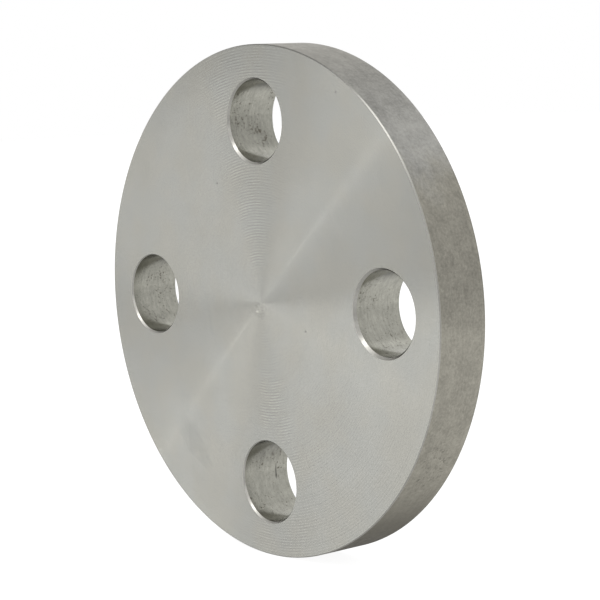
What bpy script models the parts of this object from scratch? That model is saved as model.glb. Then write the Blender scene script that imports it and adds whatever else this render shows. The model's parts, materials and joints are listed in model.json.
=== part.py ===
"""Blind flange: one flat turned steel disc with a ring of bolt holes.

Metres, +Z up. The pipe axis is Y. The sealing face looks along -Y and its centre is the origin,
so the disc stands upright, as it does on the end of a level pipe, with a bolt hole at its top.
The shapes are made lying flat, sealing face up, and the empty on the pipe axis stands them up.
"""

import math

import bmesh
import bpy

# Driving dimensions
OUTER_DIAMETER = 0.0990
THICKNESS = 0.0112
BOLT_CIRCLE_DIAMETER = 0.0699
BOLT_HOLE_DIAMETER = 0.0159
BOLT_HOLE_COUNT = 4

# Broken edges, each the leg of a 45 degree chamfer
RIM_CHAMFER = 0.0002
FRONT_HOLE_CHAMFER = 0.00035
BACK_HOLE_CHAMFER = 0.0002

# How far a cutter runs past each face
CUTTER_OVERSHOOT = 0.002

# Facets round the turned surfaces, and the angle over which an edge stays crisp
RIM_SEGMENTS = 144
HOLE_SEGMENTS = 48
CREASE_ANGLE = math.radians(20)
MERGE_DISTANCE = 0.000001

# Turned stainless steel
STEEL_COLOUR = (0.56, 0.555, 0.53, 1.0)
STEEL_ROUGHNESS = 0.36
STEEL_METALLIC = 1.0


def clear_scene():
    for obj in list(bpy.data.objects):
        bpy.data.objects.remove(obj, do_unlink=True)


def add_collection(name):
    collection = bpy.data.collections.new(name)
    bpy.context.scene.collection.children.link(collection)
    return collection


def steel():
    material = bpy.data.materials.new("turned_stainless_steel")
    material.use_nodes = True
    shader = material.node_tree.nodes["Principled BSDF"]
    shader.inputs["Base Color"].default_value = STEEL_COLOUR
    shader.inputs["Roughness"].default_value = STEEL_ROUGHNESS
    shader.inputs["Metallic"].default_value = STEEL_METALLIC
    return material


def add_pipe_axis(collection):
    """The empty that carries everything: its own Z is the pipe axis, out of the sealing face."""
    empty = bpy.data.objects.new("pipe_axis", None)
    empty.rotation_euler = (math.radians(90), 0, 0)
    collection.objects.link(empty)
    return empty


def add_disc(collection, pipe_axis):
    """The plain disc, from the sealing face at z = 0 down to the back face."""
    mesh = bpy.data.meshes.new("blind_flange")
    outline = bmesh.new()
    bmesh.ops.create_cone(
        outline,
        cap_ends=True,
        segments=RIM_SEGMENTS,
        radius1=OUTER_DIAMETER / 2,
        radius2=OUTER_DIAMETER / 2,
        depth=THICKNESS,
    )
    bmesh.ops.translate(outline, verts=outline.verts, vec=(0, 0, -THICKNESS / 2))
    outline.to_mesh(mesh)
    outline.free()
    disc = bpy.data.objects.new("blind_flange", mesh)
    disc.parent = pipe_axis
    collection.objects.link(disc)
    return disc


def break_rim_edges(disc):
    bevel = disc.modifiers.new("rim_chamfers", "BEVEL")
    bevel.limit_method = "ANGLE"
    bevel.width = RIM_CHAMFER
    bevel.segments = 1


def hole_profile():
    """Half the outline of one bolt hole, top to bottom, flared where it breaks each edge."""
    radius = BOLT_HOLE_DIAMETER / 2
    top = CUTTER_OVERSHOOT
    bottom = -THICKNESS - CUTTER_OVERSHOOT
    return [
        (0, top),
        (radius + FRONT_HOLE_CHAMFER + CUTTER_OVERSHOOT, top),
        (radius, -FRONT_HOLE_CHAMFER),
        (radius, -THICKNESS + BACK_HOLE_CHAMFER),
        (radius + BACK_HOLE_CHAMFER + CUTTER_OVERSHOOT, bottom),
        (0, bottom),
    ]


def hole_cutter_mesh():
    points = [(x, 0, z) for x, z in hole_profile()]
    edges = [(i, i + 1) for i in range(len(points) - 1)]
    mesh = bpy.data.meshes.new("bolt_hole_cutter")
    mesh.from_pydata(points, edges, [])
    return mesh


def add_hole_cutter(number, mesh, collection, pipe_axis):
    """One turned cutter on the bolt circle; the first hole is at the top of the disc."""
    angle = math.radians(90) + number * math.tau / BOLT_HOLE_COUNT
    reach = BOLT_CIRCLE_DIAMETER / 2
    cutter = bpy.data.objects.new(f"bolt_hole_cutter_{number + 1}", mesh)
    cutter.location = (reach * math.cos(angle), reach * math.sin(angle), 0)
    cutter.parent = pipe_axis
    cutter.hide_render = True
    cutter.display_type = "WIRE"
    screw = cutter.modifiers.new("turn", "SCREW")
    screw.axis = "Z"
    screw.steps = HOLE_SEGMENTS
    screw.render_steps = HOLE_SEGMENTS
    screw.use_merge_vertices = True
    screw.merge_threshold = MERGE_DISTANCE
    collection.objects.link(cutter)
    return cutter


def cut_bolt_holes(disc, cutters):
    for cutter in cutters:
        cut = disc.modifiers.new(cutter.name, "BOOLEAN")
        cut.operation = "DIFFERENCE"
        cut.solver = "EXACT"
        cut.object = cutter


def apply_modifiers(obj):
    bpy.context.view_layer.update()
    evaluated = obj.evaluated_get(bpy.context.evaluated_depsgraph_get())
    mesh = bpy.data.meshes.new_from_object(evaluated)
    obj.modifiers.clear()
    obj.data = mesh
    mesh.name = obj.name


def shade(obj):
    obj.data.shade_smooth()
    obj.data.set_sharp_from_angle(angle=CREASE_ANGLE)


def main():
    clear_scene()
    parts = add_collection("blind_flange")
    helpers = add_collection("cutters")
    helpers.hide_render = True
    pipe_axis = add_pipe_axis(parts)
    flange = add_disc(parts, pipe_axis)
    break_rim_edges(flange)
    cutter_mesh = hole_cutter_mesh()
    numbers = range(BOLT_HOLE_COUNT)
    cutters = [add_hole_cutter(number, cutter_mesh, helpers, pipe_axis) for number in numbers]
    cut_bolt_holes(flange, cutters)
    apply_modifiers(flange)
    shade(flange)
    flange.data.materials.clear()
    flange.data.materials.append(steel())


main()
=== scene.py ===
"""Looks of the blind flange: one closed machined mesh with a turned-steel finish on each surface."""
import json
import math

import bmesh
import bpy
from mathutils import Matrix, Vector


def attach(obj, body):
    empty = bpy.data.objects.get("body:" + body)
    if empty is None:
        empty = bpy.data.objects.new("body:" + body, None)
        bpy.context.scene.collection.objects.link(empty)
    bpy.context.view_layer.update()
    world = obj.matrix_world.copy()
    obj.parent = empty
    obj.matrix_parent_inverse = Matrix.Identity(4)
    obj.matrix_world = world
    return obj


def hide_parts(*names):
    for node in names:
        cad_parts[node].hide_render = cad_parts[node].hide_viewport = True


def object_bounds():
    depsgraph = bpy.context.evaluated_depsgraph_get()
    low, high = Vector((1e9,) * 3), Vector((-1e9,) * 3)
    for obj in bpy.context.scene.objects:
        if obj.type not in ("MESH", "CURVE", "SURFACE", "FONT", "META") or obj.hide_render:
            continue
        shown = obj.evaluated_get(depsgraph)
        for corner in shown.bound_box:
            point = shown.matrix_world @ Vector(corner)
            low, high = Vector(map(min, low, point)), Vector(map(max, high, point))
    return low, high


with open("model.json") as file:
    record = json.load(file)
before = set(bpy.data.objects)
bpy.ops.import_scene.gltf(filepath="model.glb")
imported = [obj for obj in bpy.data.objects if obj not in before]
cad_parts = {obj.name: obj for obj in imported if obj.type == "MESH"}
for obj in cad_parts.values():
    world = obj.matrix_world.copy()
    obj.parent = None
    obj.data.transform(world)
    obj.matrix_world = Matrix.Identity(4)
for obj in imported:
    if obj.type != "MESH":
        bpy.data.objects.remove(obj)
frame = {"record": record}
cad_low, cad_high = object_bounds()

# Sizes, in metres. The disc's own come from the frame; the pipe axis is Y, the sealing face at the low Y.
NODE = "blind_flange"
OUTER_RADIUS = (cad_high.x - cad_low.x) / 2
FRONT_Y = cad_low.y
BACK_Y = cad_high.y
BORE_RADIUS = 0.00795
RIM_BREAK = 0.0002
BACK_HOLE_CHAMFER = 0.0002
OVERSHOOT = 0.002

# Deburred front edge of each hole: leg of the chamfer and how far the tool ran off centre (right, up)
FRONT_CHAMFERS = {
    "top": (0.00036, -0.00002, -0.00005),
    "left": (0.00024, -0.00004, -0.00008),
    "bottom": (0.00024, -0.00003, -0.00008),
    "right": (0.00042, -0.00007, -0.00005),
}

RIM_SEGMENTS = 288
BORE_SEGMENTS = 120
CREASE_ANGLE = math.radians(18)

# Surfaces, in the order of the piece's material slots. A wall's normal leans along Y by less than
# WALL_LEAN, and a hole's chamfer lies within HOLE_REACH bore radii of its axis.
FACE, RIM, BORE, CHAMFER = range(4)
WALL_LEAN = 0.2
HOLE_REACH = 1.2

# Camera: its place is a direction and a distance from the point it looks at
CAMERA_LENS = 122.6
CAMERA_AZIMUTH = 50.29
CAMERA_ELEVATION = 6.117
CAMERA_ROLL = -2.333
CAMERA_DISTANCE = 0.3934
CAMERA_AIM = Vector((0.00469, 0.00569, 0.00026))


# Mesh ------------------------------------------------------------------------------------------

def ring_points(radius, y, shift=(0, 0), lean=(0, 0), segments=1, centre=(0, 0)):
    """Points round Y through centre (x, z), moved by shift, with y growing by lean towards +X and +Z."""
    points = []
    for step in range(segments if radius else 1):
        across = math.cos(math.tau * step / segments)
        upward = math.sin(math.tau * step / segments)
        x = centre[0] + shift[0] + radius * across
        z = centre[1] + shift[1] + radius * upward
        points.append((x, y + lean[0] * across + lean[1] * upward, z))
    return points


def lathe(name, profile, segments, centre=(0, 0)):
    """A closed mesh turned about Y, from axis to axis; each row of the profile sets one ring."""
    form = bmesh.new()
    rings = []
    for row in profile:
        points = ring_points(*row, segments=segments, centre=centre)
        rings.append([form.verts.new(point) for point in points])
    for one, two in zip(rings, rings[1:]):
        for step in range(segments):
            after = (step + 1) % segments
            corners = [one[step % len(one)], one[after % len(one)]]
            corners += [two[after % len(two)], two[step % len(two)]]
            form.faces.new(list(dict.fromkeys(corners)))
    bmesh.ops.recalc_face_normals(form, faces=form.faces)
    mesh = bpy.data.meshes.new(name)
    form.to_mesh(mesh)
    form.free()
    piece = bpy.data.objects.new(name, mesh)
    bpy.context.scene.collection.objects.link(piece)
    return piece


def disc_profile():
    """The whole outline: sealing face out to the rim, over it, and back along the other face."""
    flat = OUTER_RADIUS - RIM_BREAK
    front = [(0, FRONT_Y), (flat, FRONT_Y), (OUTER_RADIUS, FRONT_Y + RIM_BREAK)]
    back = [(OUTER_RADIUS, BACK_Y - RIM_BREAK), (flat, BACK_Y), (0, BACK_Y)]
    return front + back


def hole_places():
    """Each bolt hole's centre as (x, z), from the openings of the record."""
    places = {}
    for opening in frame["record"]["physics"]["openings"]:
        low, high = opening["box_m"]
        side = opening["name"].split("_")[2]
        places[side] = ((low[0] + high[0]) / 2, (low[2] + high[2]) / 2)
    return places


def hole_cutter(side, centre):
    """One closed cutter: the bore and a 45 degree chamfer at each end, the front one off centre."""
    leg, right, up = FRONT_CHAMFERS[side]
    off = (right, up)
    profile = [
        (0, FRONT_Y - OVERSHOOT),
        (BORE_RADIUS + leg + OVERSHOOT, FRONT_Y - OVERSHOOT, off),
        (BORE_RADIUS, FRONT_Y + leg, (0, 0), off),
        (BORE_RADIUS, BACK_Y - BACK_HOLE_CHAMFER),
        (BORE_RADIUS + BACK_HOLE_CHAMFER + OVERSHOOT, BACK_Y + OVERSHOOT),
        (0, BACK_Y + OVERSHOOT),
    ]
    return lathe("hole_" + side, profile, BORE_SEGMENTS, centre)


def subtract(piece, cutters):
    """Cuts each cutter out of the piece, and removes it."""
    for cutter in cutters:
        cut = piece.modifiers.new(cutter.name, "BOOLEAN")
        cut.operation = "DIFFERENCE"
        cut.solver = "EXACT"
        cut.object = cutter
    bpy.context.view_layer.update()
    evaluated = piece.evaluated_get(bpy.context.evaluated_depsgraph_get())
    mesh = bpy.data.meshes.new_from_object(evaluated)
    piece.modifiers.clear()
    piece.data = mesh
    for cutter in cutters:
        bpy.data.objects.remove(cutter, do_unlink=True)


def drill(piece):
    """Makes all the bolt holes."""
    subtract(piece, [hole_cutter(side, centre) for side, centre in hole_places().items()])


def nearest_hole(point):
    """(distance from its axis, centre) of the hole that a point lies nearest to."""
    found = []
    for x, z in hole_places().values():
        found.append((math.hypot(point.x - x, point.z - z), (x, z)))
    return min(found)


def surface_of(face):
    """Which finish a face of the mesh has, and the axis (x, z) that it was turned about."""
    lean = abs(face.normal.y)
    if lean > math.cos(CREASE_ANGLE / 2):
        return FACE, (0, 0)
    distance, axis = nearest_hole(face.center)
    wall = RIM
    if distance < BORE_RADIUS * HOLE_REACH:
        wall = BORE
    else:
        axis = (0, 0)
    return (wall if lean < WALL_LEAN else CHAMFER), axis


def mark_surfaces(piece):
    """Sets each face's finish, and stores each corner's place from the axis it was turned about."""
    mesh = piece.data
    turned = mesh.attributes.new("turned", "FLOAT_VECTOR", "CORNER")
    for face in mesh.polygons:
        face.material_index, (x, z) = surface_of(face)
        for corner in face.loop_indices:
            place = mesh.vertices[mesh.loops[corner].vertex_index].co
            turned.data[corner].vector = (place.x - x, place.y, place.z - z)
    mesh.shade_smooth()
    mesh.set_sharp_from_angle(angle=CREASE_ANGLE)


# Materials -------------------------------------------------------------------------------------

MM = 1000


def add(tree, kind, values=(), **settings):
    """A node with its settings; each value sets an input, or links it if the value is a socket."""
    made = tree.nodes.new(kind)
    for key, value in settings.items():
        setattr(made, key, value)
    for key, value in dict(values).items():
        if isinstance(value, bpy.types.NodeSocket):
            tree.links.new(value, made.inputs[key])
        else:
            made.inputs[key].default_value = value
    return made


def maths(tree, operation, one, two=0.0, three=0.0):
    """The number that a Math node makes of up to three others."""
    values = {0: one, 1: two, 2: three}
    return add(tree, "ShaderNodeMath", values, operation=operation).outputs[0]


def vector(tree, operation, one, two=(0, 0, 0)):
    """What a Vector Math node makes of one or two vectors: a number or a vector."""
    made = add(tree, "ShaderNodeVectorMath", {0: one, 1: two}, operation=operation)
    return made.outputs["Value"] if operation in ("LENGTH", "DOT_PRODUCT") else made.outputs[0]


def scaled(tree, one, factor):
    """A vector or colour times a number."""
    return add(tree, "ShaderNodeVectorMath", {0: one, "Scale": factor}, operation="SCALE").outputs[0]


def joined(tree, x, y, z):
    """The vector of three numbers."""
    return add(tree, "ShaderNodeCombineXYZ", {0: x, 1: y, 2: z}).outputs[0]


def noise(tree, place, scale, detail=2.0, rough=0.5, flat=False):
    """Noise about 0, at most half a unit either way; flat reads place as one number."""
    values = {"Scale": scale, "Detail": detail, "Roughness": rough}
    values["W" if flat else "Vector"] = place
    made = add(tree, "ShaderNodeTexNoise", values, noise_dimensions="1D" if flat else "3D")
    return maths(tree, "SUBTRACT", made.outputs["Fac"], 0.5)


def ramp(tree, value, low, high, to_low=0.0, to_high=1.0, smooth=True):
    """A value mapped from low..high to to_low..to_high, held at its ends, with eased or sharp corners."""
    values = {"Value": value, "From Min": low, "From Max": high, "To Min": to_low, "To Max": to_high}
    kind = "SMOOTHSTEP" if smooth else "LINEAR"
    return add(tree, "ShaderNodeMapRange", values, interpolation_type=kind).outputs[0]


def blend(tree, share, one, two):
    """Two colours mixed: all one at share 0, all two at share 1."""
    values = {0: share, 6: one, 7: two}
    return add(tree, "ShaderNodeMix", values, data_type="RGBA").outputs[2]


def shaded(tree, colour, parts):
    """The colour made lighter or darker by each part, a value and its weight."""
    total = 1.0
    for value, weight in parts:
        total = maths(tree, "MULTIPLY_ADD", value, weight, total)
    return scaled(tree, colour, total)


def mark(tree, place, middle, half):
    """1 at the middle of a mark, falling to 0 outside its half sizes, in millimetres."""
    away = vector(tree, "DIVIDE", vector(tree, "SUBTRACT", place, middle), half)
    return ramp(tree, vector(tree, "LENGTH", away), 0.5, 1.5, 1.0, 0.0)


def specks(tree, place, middle, half):
    """1 in the fine specks scattered over a mark, 0 between them."""
    grains = ramp(tree, noise(tree, place, 1.1, detail=3, rough=0.75), 0.05, 0.13)
    return maths(tree, "MULTIPLY", grains, mark(tree, place, middle, half))


class Turned:
    """A turned surface's coordinates in millimetres: place on the whole part, others from its own axis."""

    def __init__(self, tree):
        self.place = scaled(tree, add(tree, "ShaderNodeTexCoord").outputs["Object"], MM)
        own = scaled(tree, add(tree, "ShaderNodeAttribute", attribute_name="turned").outputs["Vector"], MM)
        x, self.along, z = add(tree, "ShaderNodeSeparateXYZ", {0: own}).outputs
        across = joined(tree, x, 0.0, z)
        self.outward = vector(tree, "NORMALIZE", across)
        self.round = vector(tree, "CROSS_PRODUCT", (0, 1, 0), self.outward)
        self.radius = vector(tree, "LENGTH", across)
        self.angle = maths(tree, "DIVIDE", maths(tree, "ARCTAN2", z, x), math.tau)


def new_steel(name, roughness, anisotropy):
    """A steel material's tree, with marks running round the axis, and its shader."""
    material = bpy.data.materials.new(name)
    material.use_nodes = True
    tree = material.node_tree
    shader = tree.nodes["Principled BSDF"]
    shader.inputs["Metallic"].default_value = 1.0
    shader.inputs["Roughness"].default_value = roughness
    shader.inputs["Anisotropic"].default_value = anisotropy
    shader.inputs["Anisotropic Rotation"].default_value = 0.25
    turned = Turned(tree)
    tree.links.new(turned.round, shader.inputs["Tangent"])
    return material, tree, shader, turned


def tilted_normal(tree, turned, slope):
    """The surface normal leaning outward by slope."""
    normal = add(tree, "ShaderNodeNewGeometry").outputs["Normal"]
    lean = scaled(tree, turned.outward, slope)
    return vector(tree, "NORMALIZE", vector(tree, "ADD", normal, lean))


def roughen(tree, shader, turned, lines_mm, grain_mm):
    """Bumps in millimetres: lines that run round the axis, and a grain all over."""
    lines = noise(tree, turned.along, 4.0, detail=4, rough=0.7, flat=True)
    grain = noise(tree, turned.place, 2.5, detail=3)
    height = maths(tree, "MULTIPLY_ADD", grain, grain_mm / MM, maths(tree, "MULTIPLY", lines, lines_mm / MM))
    bump = add(tree, "ShaderNodeBump", {"Height": height, "Distance": 1.0})
    tree.links.new(bump.outputs[0], shader.inputs["Normal"])


# The faced surface: the tool's feed each turn, the slopes of its scallop and of its fine lines, and
# the steep crest torn up between turns, with the share of a turn that each of its flanks takes
FEED_MM = 0.55
FEED_SLOPE = 0.055
FINE_SLOPE = 0.025
CREST_SHARE = 0.016
CREST_SLOPE = 1.0
FACE_ROUGHNESS = 0.25
FACE_COOL = (0.497, 0.4985, 0.464, 1)
FACE_WARM = (0.505, 0.4985, 0.452, 1)


def tool_marks(tree, turned):
    """The slope of the spiral the facing tool leaves: a scallop each turn, torn up at its crests."""
    turns = maths(tree, "ADD", maths(tree, "DIVIDE", turned.radius, FEED_MM), turned.angle)
    phase = maths(tree, "FRACT", turns)
    scallop = ramp(tree, phase, 0, 1, -1, 1, smooth=False)
    uneven = ramp(tree, noise(tree, turned.radius, 0.9, flat=True), -0.2, 0.2, 0.5, 1.5)
    feed = maths(tree, "MULTIPLY", maths(tree, "MULTIPLY", scallop, uneven), FEED_SLOPE)
    lines = noise(tree, turned.radius, 7.0, detail=3, rough=0.7, flat=True)
    fine = ramp(tree, lines, -0.3, 0.3, -FINE_SLOPE, FINE_SLOPE, smooth=False)
    rise = maths(tree, "GREATER_THAN", phase, 1 - CREST_SHARE)
    fall = maths(tree, "LESS_THAN", phase, CREST_SHARE)
    height = ramp(tree, noise(tree, turned.radius, 13.0, flat=True), -0.2, 0.2, 0.7, 1.3)
    crest = maths(tree, "MULTIPLY", maths(tree, "SUBTRACT", rise, fall), height)
    slope = maths(tree, "ADD", feed, fine)
    slope = maths(tree, "ADD", slope, maths(tree, "MULTIPLY", crest, CREST_SLOPE))
    return slope, phase


def painted_feed_ring_shading(tree, turned, phase):
    """Painted shade and light of the feed rings in the colour, plainest straight above and below the centre,
    where the light shows them most.
    """
    ring = maths(tree, "COSINE", maths(tree, "MULTIPLY", phase, math.tau))
    upright = maths(tree, "ABSOLUTE", vector(tree, "DOT_PRODUCT", turned.outward, (-0.1, 0, 1)))
    painted_light_band = ramp(tree, upright, 0.955, 1.0, 0.1, 1.0)
    patchy = ramp(tree, noise(tree, turned.place, 0.25), -0.1, 0.1, 0.5, 1.3)
    return maths(tree, "MULTIPLY", ring, maths(tree, "MULTIPLY", painted_light_band, patchy))


def face_steel():
    """Faced flat on a lathe, with painted shading of its feed rings, a smudge, a greyer edge, the tool's
    centre mark and a few nicks.
    """
    material, tree, shader, turned = new_steel("faced_steel", FACE_ROUGHNESS, 1.0)
    slope, phase = tool_marks(tree, turned)
    tree.links.new(tilted_normal(tree, turned, slope), shader.inputs["Normal"])
    wander = add(tree, "ShaderNodeTexNoise", {"Vector": turned.place, "Scale": 0.4}).outputs["Color"]
    wander = scaled(tree, vector(tree, "SUBTRACT", wander, (0.5, 0.5, 0.5)), 6.0)
    moved = vector(tree, "ADD", turned.place, wander)
    edge = ramp(tree, turned.radius, 41, 49)
    side = ramp(tree, vector(tree, "DOT_PRODUCT", turned.outward, (-0.34, 0, 0.94)), 0.8, 1.0)
    surface = [
        (noise(tree, turned.place, 0.06, detail=4, rough=0.6), 0.2),
        (noise(tree, turned.place, 2.2, detail=2, rough=0.6), 0.2),
        # Painted shading: the feed rings darken and lighten the colour, most above and below the centre
        (painted_feed_ring_shading(tree, turned, phase), 0.085),
        (maths(tree, "MULTIPLY", edge, side), -0.10),
    ]
    smudge = [
        (mark(tree, moved, (-26.5, 0, -26.5), (2.2, 9, 2.2)), -0.055),
        (mark(tree, moved, (-24.0, 0, -29.3), (2.6, 9, 2.6)), -0.065),
        (mark(tree, moved, (-21.3, 0, -32.5), (1.6, 9, 2.0)), -0.045),
    ]
    centre = [
        (mark(tree, moved, (-1.2, 0, -1.9), (1.8, 9, 1.2)), -0.07),
        (mark(tree, turned.place, (-1.4, 0, -1.75), (0.35, 9, 0.22)), 0.22),
    ]
    nicks = [
        (mark(tree, turned.place, (12.8, 0, -4.7), (0.3, 9, 0.2)), -0.25),
        (mark(tree, turned.place, (-12.4, 0, 22.9), (0.3, 9, 0.2)), -0.25),
        (mark(tree, turned.place, (24.1, 0, 39.9), (0.25, 9, 0.2)), -0.25),
    ]
    tint = ramp(tree, noise(tree, turned.place, 0.09), -0.15, 0.15)
    colour = blend(tree, tint, FACE_COOL, FACE_WARM)
    colour = shaded(tree, colour, surface + smudge + centre + nicks)
    tree.links.new(colour, shader.inputs["Base Color"])
    return material


# The rim's colours, and the tint of what it mirrors at a glancing angle
RIM_CLEAN = (0.300, 0.297, 0.280, 1)
RIM_STAINED = (0.304, 0.292, 0.251, 1)
RIM_EDGE_TINT = (0.80, 0.78, 0.74, 1)


def rim_steel():
    """The rim's dull turned skin: clean at the top, clouded and speckled elsewhere, with a painted highlight
    at the upper right and painted shade at its foot.
    """
    material, tree, shader, turned = new_steel("rim_steel", 0.40, 0.5)
    shader.inputs["Specular Tint"].default_value = RIM_EDGE_TINT
    cloud = noise(tree, turned.place, 0.11, detail=3, rough=0.55)
    blotch = noise(tree, turned.place, 0.4, detail=4, rough=0.7)
    height = add(tree, "ShaderNodeSeparateXYZ", {0: turned.place}).outputs["Z"]
    clean = ramp(tree, maths(tree, "MULTIPLY_ADD", cloud, 20.0, height), 20, 32)
    skin = [
        (cloud, 0.3),
        (blotch, 0.45),
        (noise(tree, turned.place, 1.8, detail=3, rough=0.7), 0.8),
        (noise(tree, turned.along, 1.3, detail=4, rough=0.7, flat=True), 0.25),
    ]
    painted_light_shade_and_marks = [
        # Painted highlight: lighter at the upper right, about 39 degrees up, where the key lamp's light
        # falls
        (mark(tree, turned.place, (38.5, 8, 31), (7, 9, 5.5)), 0.24),
        # Darker at the right, about 12 degrees up
        (mark(tree, turned.place, (48, 5, 10), (5, 20, 11)), -0.12),
        # Painted shade: darker at the rim's foot, above the floor
        (mark(tree, turned.place, (8, 6, -50), (22, 12, 5)), -0.42),
        (specks(tree, turned.place, (40.5, 5.5, -28.5), (5, 4, 6)), -0.4),
        (specks(tree, turned.place, (19, 6, -46), (9, 8, 4)), -0.5),
    ]
    colour = shaded(tree, blend(tree, clean, RIM_STAINED, RIM_CLEAN), skin + painted_light_shade_and_marks)
    tree.links.new(colour, shader.inputs["Base Color"])
    tree.links.new(ramp(tree, blotch, -0.2, 0.2, 0.44, 0.36), shader.inputs["Roughness"])
    roughen(tree, shader, turned, 0.004, 0.004)
    return material


BORE_CLEAN = (0.335, 0.331, 0.290)
PIT_COLOUR = (0.11, 0.10, 0.08, 1)


def bore_steel():
    """Drilled wall: smooth enough to mirror its own far side, streaked round, pitted, once scratched, with
    painted shade on parts of three holes' walls.
    """
    material, tree, shader, turned = new_steel("drilled_steel", 0.21, 0.5)
    dirt = noise(tree, turned.place, 0.22, detail=2)
    streak = noise(tree, vector(tree, "MULTIPLY", turned.place, (0.4, 2.2, 0.4)), 0.9, detail=4, rough=0.7)
    skin = [
        (dirt, 0.4),
        (streak, 0.6),
        (noise(tree, turned.place, 1.6, detail=4, rough=0.75), 0.6),
    ]
    scratch = [
        (mark(tree, turned.place, (-7.8, 8.1, -35.0), (1, 0.18, 1.4)), -0.5),
        (mark(tree, turned.place, (-7.8, 8.1, -36.0), (1, 0.3, 0.4)), -0.3),
    ]
    painted_light_shade_and_marks = [
        # Painted shade: darker upper walls of the bottom and left holes, where they mirror the shaded floor,
        # and a darker lower half of the top hole
        (mark(tree, turned.place, (-5.0, 4.0, -28.7), (6, 8, 4)), -0.28),
        (mark(tree, turned.place, (-40.0, 3.0, 6.2), (6, 6, 3)), -0.2),
        (mark(tree, turned.place, (-7.5, 6.0, 33.5), (3, 9, 4.5)), -0.12),
    ]
    colour = shaded(tree, BORE_CLEAN, skin + scratch + painted_light_shade_and_marks)
    pits = noise(tree, turned.place, 1.9, detail=3, rough=0.65)
    pits = maths(tree, "MULTIPLY_ADD", dirt, -0.35, pits)
    colour = blend(tree, ramp(tree, pits, 0.12, 0.19), colour, PIT_COLOUR)
    tree.links.new(colour, shader.inputs["Base Color"])
    roughen(tree, shader, turned, 0.004, 0.003)
    return material


CUT_EDGE = (0.54, 0.53, 0.49)


def chamfer_steel():
    """Fresh cut edge, a little brighter than what it joins, with painted shade over the top of the rim's
    edge that dims its glint there.
    """
    material, tree, shader, turned = new_steel("cut_edge_steel", 0.32, 0.0)
    # Painted shade: the rim's cut edge is darkened from about 48 degrees up, which dims its glint there
    rim = ramp(tree, turned.radius, 20, 30)
    over = ramp(tree, vector(tree, "DOT_PRODUCT", turned.outward, (0, 0, 1)), 0.74, 0.84)
    parts = [(noise(tree, turned.place, 4.0), 0.5), (maths(tree, "MULTIPLY", rim, over), -0.45)]
    tree.links.new(shaded(tree, CUT_EDGE, parts), shader.inputs["Base Color"])
    return material


# Stage -----------------------------------------------------------------------------------------

FLOOR_SIZE = 6.0
FLOOR_GREY = (0.25, 0.25, 0.25, 1)
FLOOR_GLOW = 0.92


def add_floor():
    """A pale sweep for the eye alone: the steel mirrors the studio light instead of it."""
    form = bmesh.new()
    bmesh.ops.create_grid(form, x_segments=1, y_segments=1, size=FLOOR_SIZE / 2)
    mesh = bpy.data.meshes.new("floor")
    form.to_mesh(mesh)
    form.free()
    floor = bpy.data.objects.new("floor", mesh)
    floor.location.z = cad_low.z
    bpy.context.scene.collection.objects.link(floor)
    material = bpy.data.materials.new("pale_floor")
    material.use_nodes = True
    shader = material.node_tree.nodes["Principled BSDF"]
    shader.inputs["Base Color"].default_value = FLOOR_GREY
    shader.inputs["Roughness"].default_value = 1.0
    shader.inputs["Specular IOR Level"].default_value = 0.0
    shader.inputs["Emission Color"].default_value = (1, 1, 1, 1)
    shader.inputs["Emission Strength"].default_value = FLOOR_GLOW
    mesh.materials.append(material)
    floor.visible_glossy = False
    floor.visible_diffuse = False


# The studio all round, as soft-edged panels of more or less light. Azimuth 0 is where the sealing
# face looks and 90 is to its right. Each panel has, in degrees but for the last:
# azimuth, elevation, half width, half height, softness across, softness upright, brightness
BASE_LIGHT = 0.52
LEAST_LIGHT = 0.35
STUDIO = {
    "softbox over the front": (-5, 27, 35, 20, 15, 2, 1.2),
    "low strip": (-40, -12, 20, 6.5, 3, 1, 0.9),
    "left window": (-72, 5, 20, 10, 8, 8, 0.4),
    "right strip": (20, 15, 20, 7, 5, 3, 0.8),
    "dark card above left": (-60, 25, 20, 10, 5, 2, -0.3),
    "dark card low left": (-80, -25, 25, 20, 5, 1, -0.2),
    "dark card low right": (-15, -15, 30, 8, 10, 5, -0.3),
    "dark bench": (-50, -30, 30, 15, 10, 1, -0.2),
    "dark wall at the right": (45, 10, 12, 13, 5, 5, -0.4),
    "dark wall above it": (36, 30, 14, 12, 6, 5, -1.0),
    "glow below it": (36, -28, 14, 10, 5, 4, 0.2),
    "high strip": (-5, 57, 27, 7, 8, 3, 0.8),
    "ceiling": (0, 88, 180, 22, 1, 8, 0.45),
    "behind, right, upper": (125, 20, 65, 35, 12, 2, 0.45),
    "behind, right, lower": (130, -50, 75, 36, 12, 2, 0.55),
    "behind, left, upper": (-143, 30, 38, 24, 15, 8, 0.65),
    "behind, left, lower": (-135, -45, 38, 42, 12, 8, -0.3),
}


def patch(tree, away, half, soft):
    """1 within half of the middle, falling to 0 over the softness at its edge."""
    return ramp(tree, maths(tree, "ABSOLUTE", away), half - soft, half + soft, 1.0, 0.0)


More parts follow.
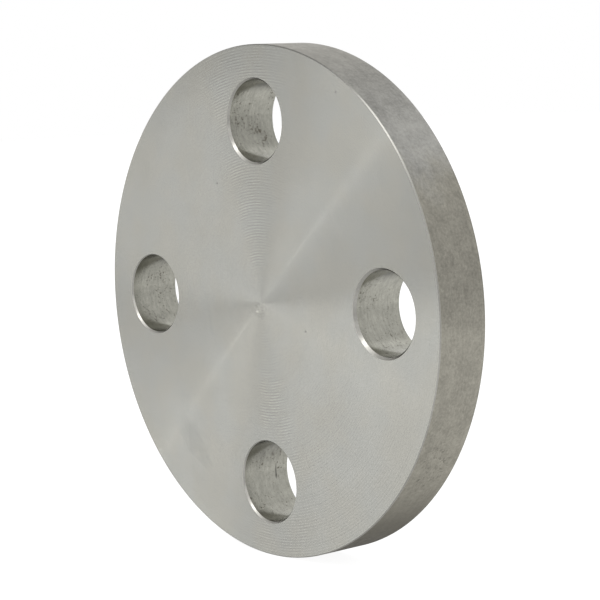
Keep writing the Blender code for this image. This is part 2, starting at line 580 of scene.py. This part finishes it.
def light_studio():
    """A soft studio all round, plain white where the camera looks past the object."""
    world = bpy.data.worlds.new("studio")
    bpy.context.scene.world = world
    world.use_nodes = True
    tree = world.node_tree
    look = add(tree, "ShaderNodeTexCoord").outputs["Generated"]
    x, y, z = add(tree, "ShaderNodeSeparateXYZ", {0: look}).outputs
    azimuth = maths(tree, "ARCTAN2", x, maths(tree, "MULTIPLY", y, -1.0))
    azimuth = maths(tree, "MULTIPLY", azimuth, 180 / math.pi)
    elevation = maths(tree, "MULTIPLY", maths(tree, "ARCSINE", z), 180 / math.pi)
    total = BASE_LIGHT
    for middle, height, half_width, half_height, soft_across, soft_up, brightness in STUDIO.values():
        aside = maths(tree, "WRAP", maths(tree, "SUBTRACT", azimuth, middle), 180.0, -180.0)
        across = patch(tree, aside, half_width, soft_across)
        upright = patch(tree, maths(tree, "SUBTRACT", elevation, height), half_height, soft_up)
        part = maths(tree, "MULTIPLY", maths(tree, "MULTIPLY", across, upright), brightness)
        total = maths(tree, "ADD", part, total)
    total = maths(tree, "MAXIMUM", total, LEAST_LIGHT)
    seen = add(tree, "ShaderNodeLightPath").outputs["Is Camera Ray"]
    shown = add(tree, "ShaderNodeMix", {0: seen, 2: total, 3: 1.0}).outputs[0]
    background = tree.nodes["Background"]
    tree.links.new(shown, background.inputs["Strength"])
    background.inputs["Color"].default_value = (1, 1, 1, 1)


# The small bright lamp that draws the radial glints: where it stands and how strong it is
KEY_AZIMUTH = 12.5
KEY_ELEVATION = 47
KEY_DISTANCE = 1.2
KEY_SIZE = 0.06
KEY_POWER = 0.9


def from_object(azimuth, elevation, distance):
    """The point that lies this far from the object in a direction, in degrees."""
    a, e = math.radians(azimuth), math.radians(elevation)
    return distance * Vector((math.sin(a) * math.cos(e), -math.cos(a) * math.cos(e), math.sin(e)))


def add_key():
    """The lamp, facing the object and unseen by the camera."""
    light = bpy.data.lights.new("key", "AREA")
    light.shape = "DISK"
    light.size = KEY_SIZE
    light.energy = KEY_POWER
    lamp = bpy.data.objects.new("key", light)
    lamp.location = from_object(KEY_AZIMUTH, KEY_ELEVATION, KEY_DISTANCE)
    lamp.rotation_euler = lamp.location.to_track_quat("Z", "Y").to_euler()
    lamp.visible_camera = False
    bpy.context.scene.collection.objects.link(lamp)


def add_camera():
    """The camera, aimed near the object's centre and rolled a little."""
    data = bpy.data.cameras.new("camera")
    data.lens = CAMERA_LENS
    data.clip_start = 0.01
    camera = bpy.data.objects.new("camera", data)
    away = from_object(CAMERA_AZIMUTH, CAMERA_ELEVATION, CAMERA_DISTANCE)
    turn = away.to_track_quat("Z", "Y").to_matrix().to_4x4()
    roll = Matrix.Rotation(math.radians(CAMERA_ROLL), 4, "Z")
    camera.matrix_world = Matrix.Translation(CAMERA_AIM + away) @ turn @ roll
    bpy.context.scene.collection.objects.link(camera)
    bpy.context.scene.camera = camera


def make_flange():
    """The whole visible part, in place of its CAD node."""
    piece = lathe("machined_flange", disc_profile(), RIM_SEGMENTS)
    drill(piece)
    mark_surfaces(piece)
    for material in (face_steel(), rim_steel(), bore_steel(), chamfer_steel()):
        piece.data.materials.append(material)
    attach(piece, "root")
    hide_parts(NODE)


make_flange()
add_floor()
light_studio()
add_key()
add_camera()
bpy.context.scene.view_settings.view_transform = "Standard"
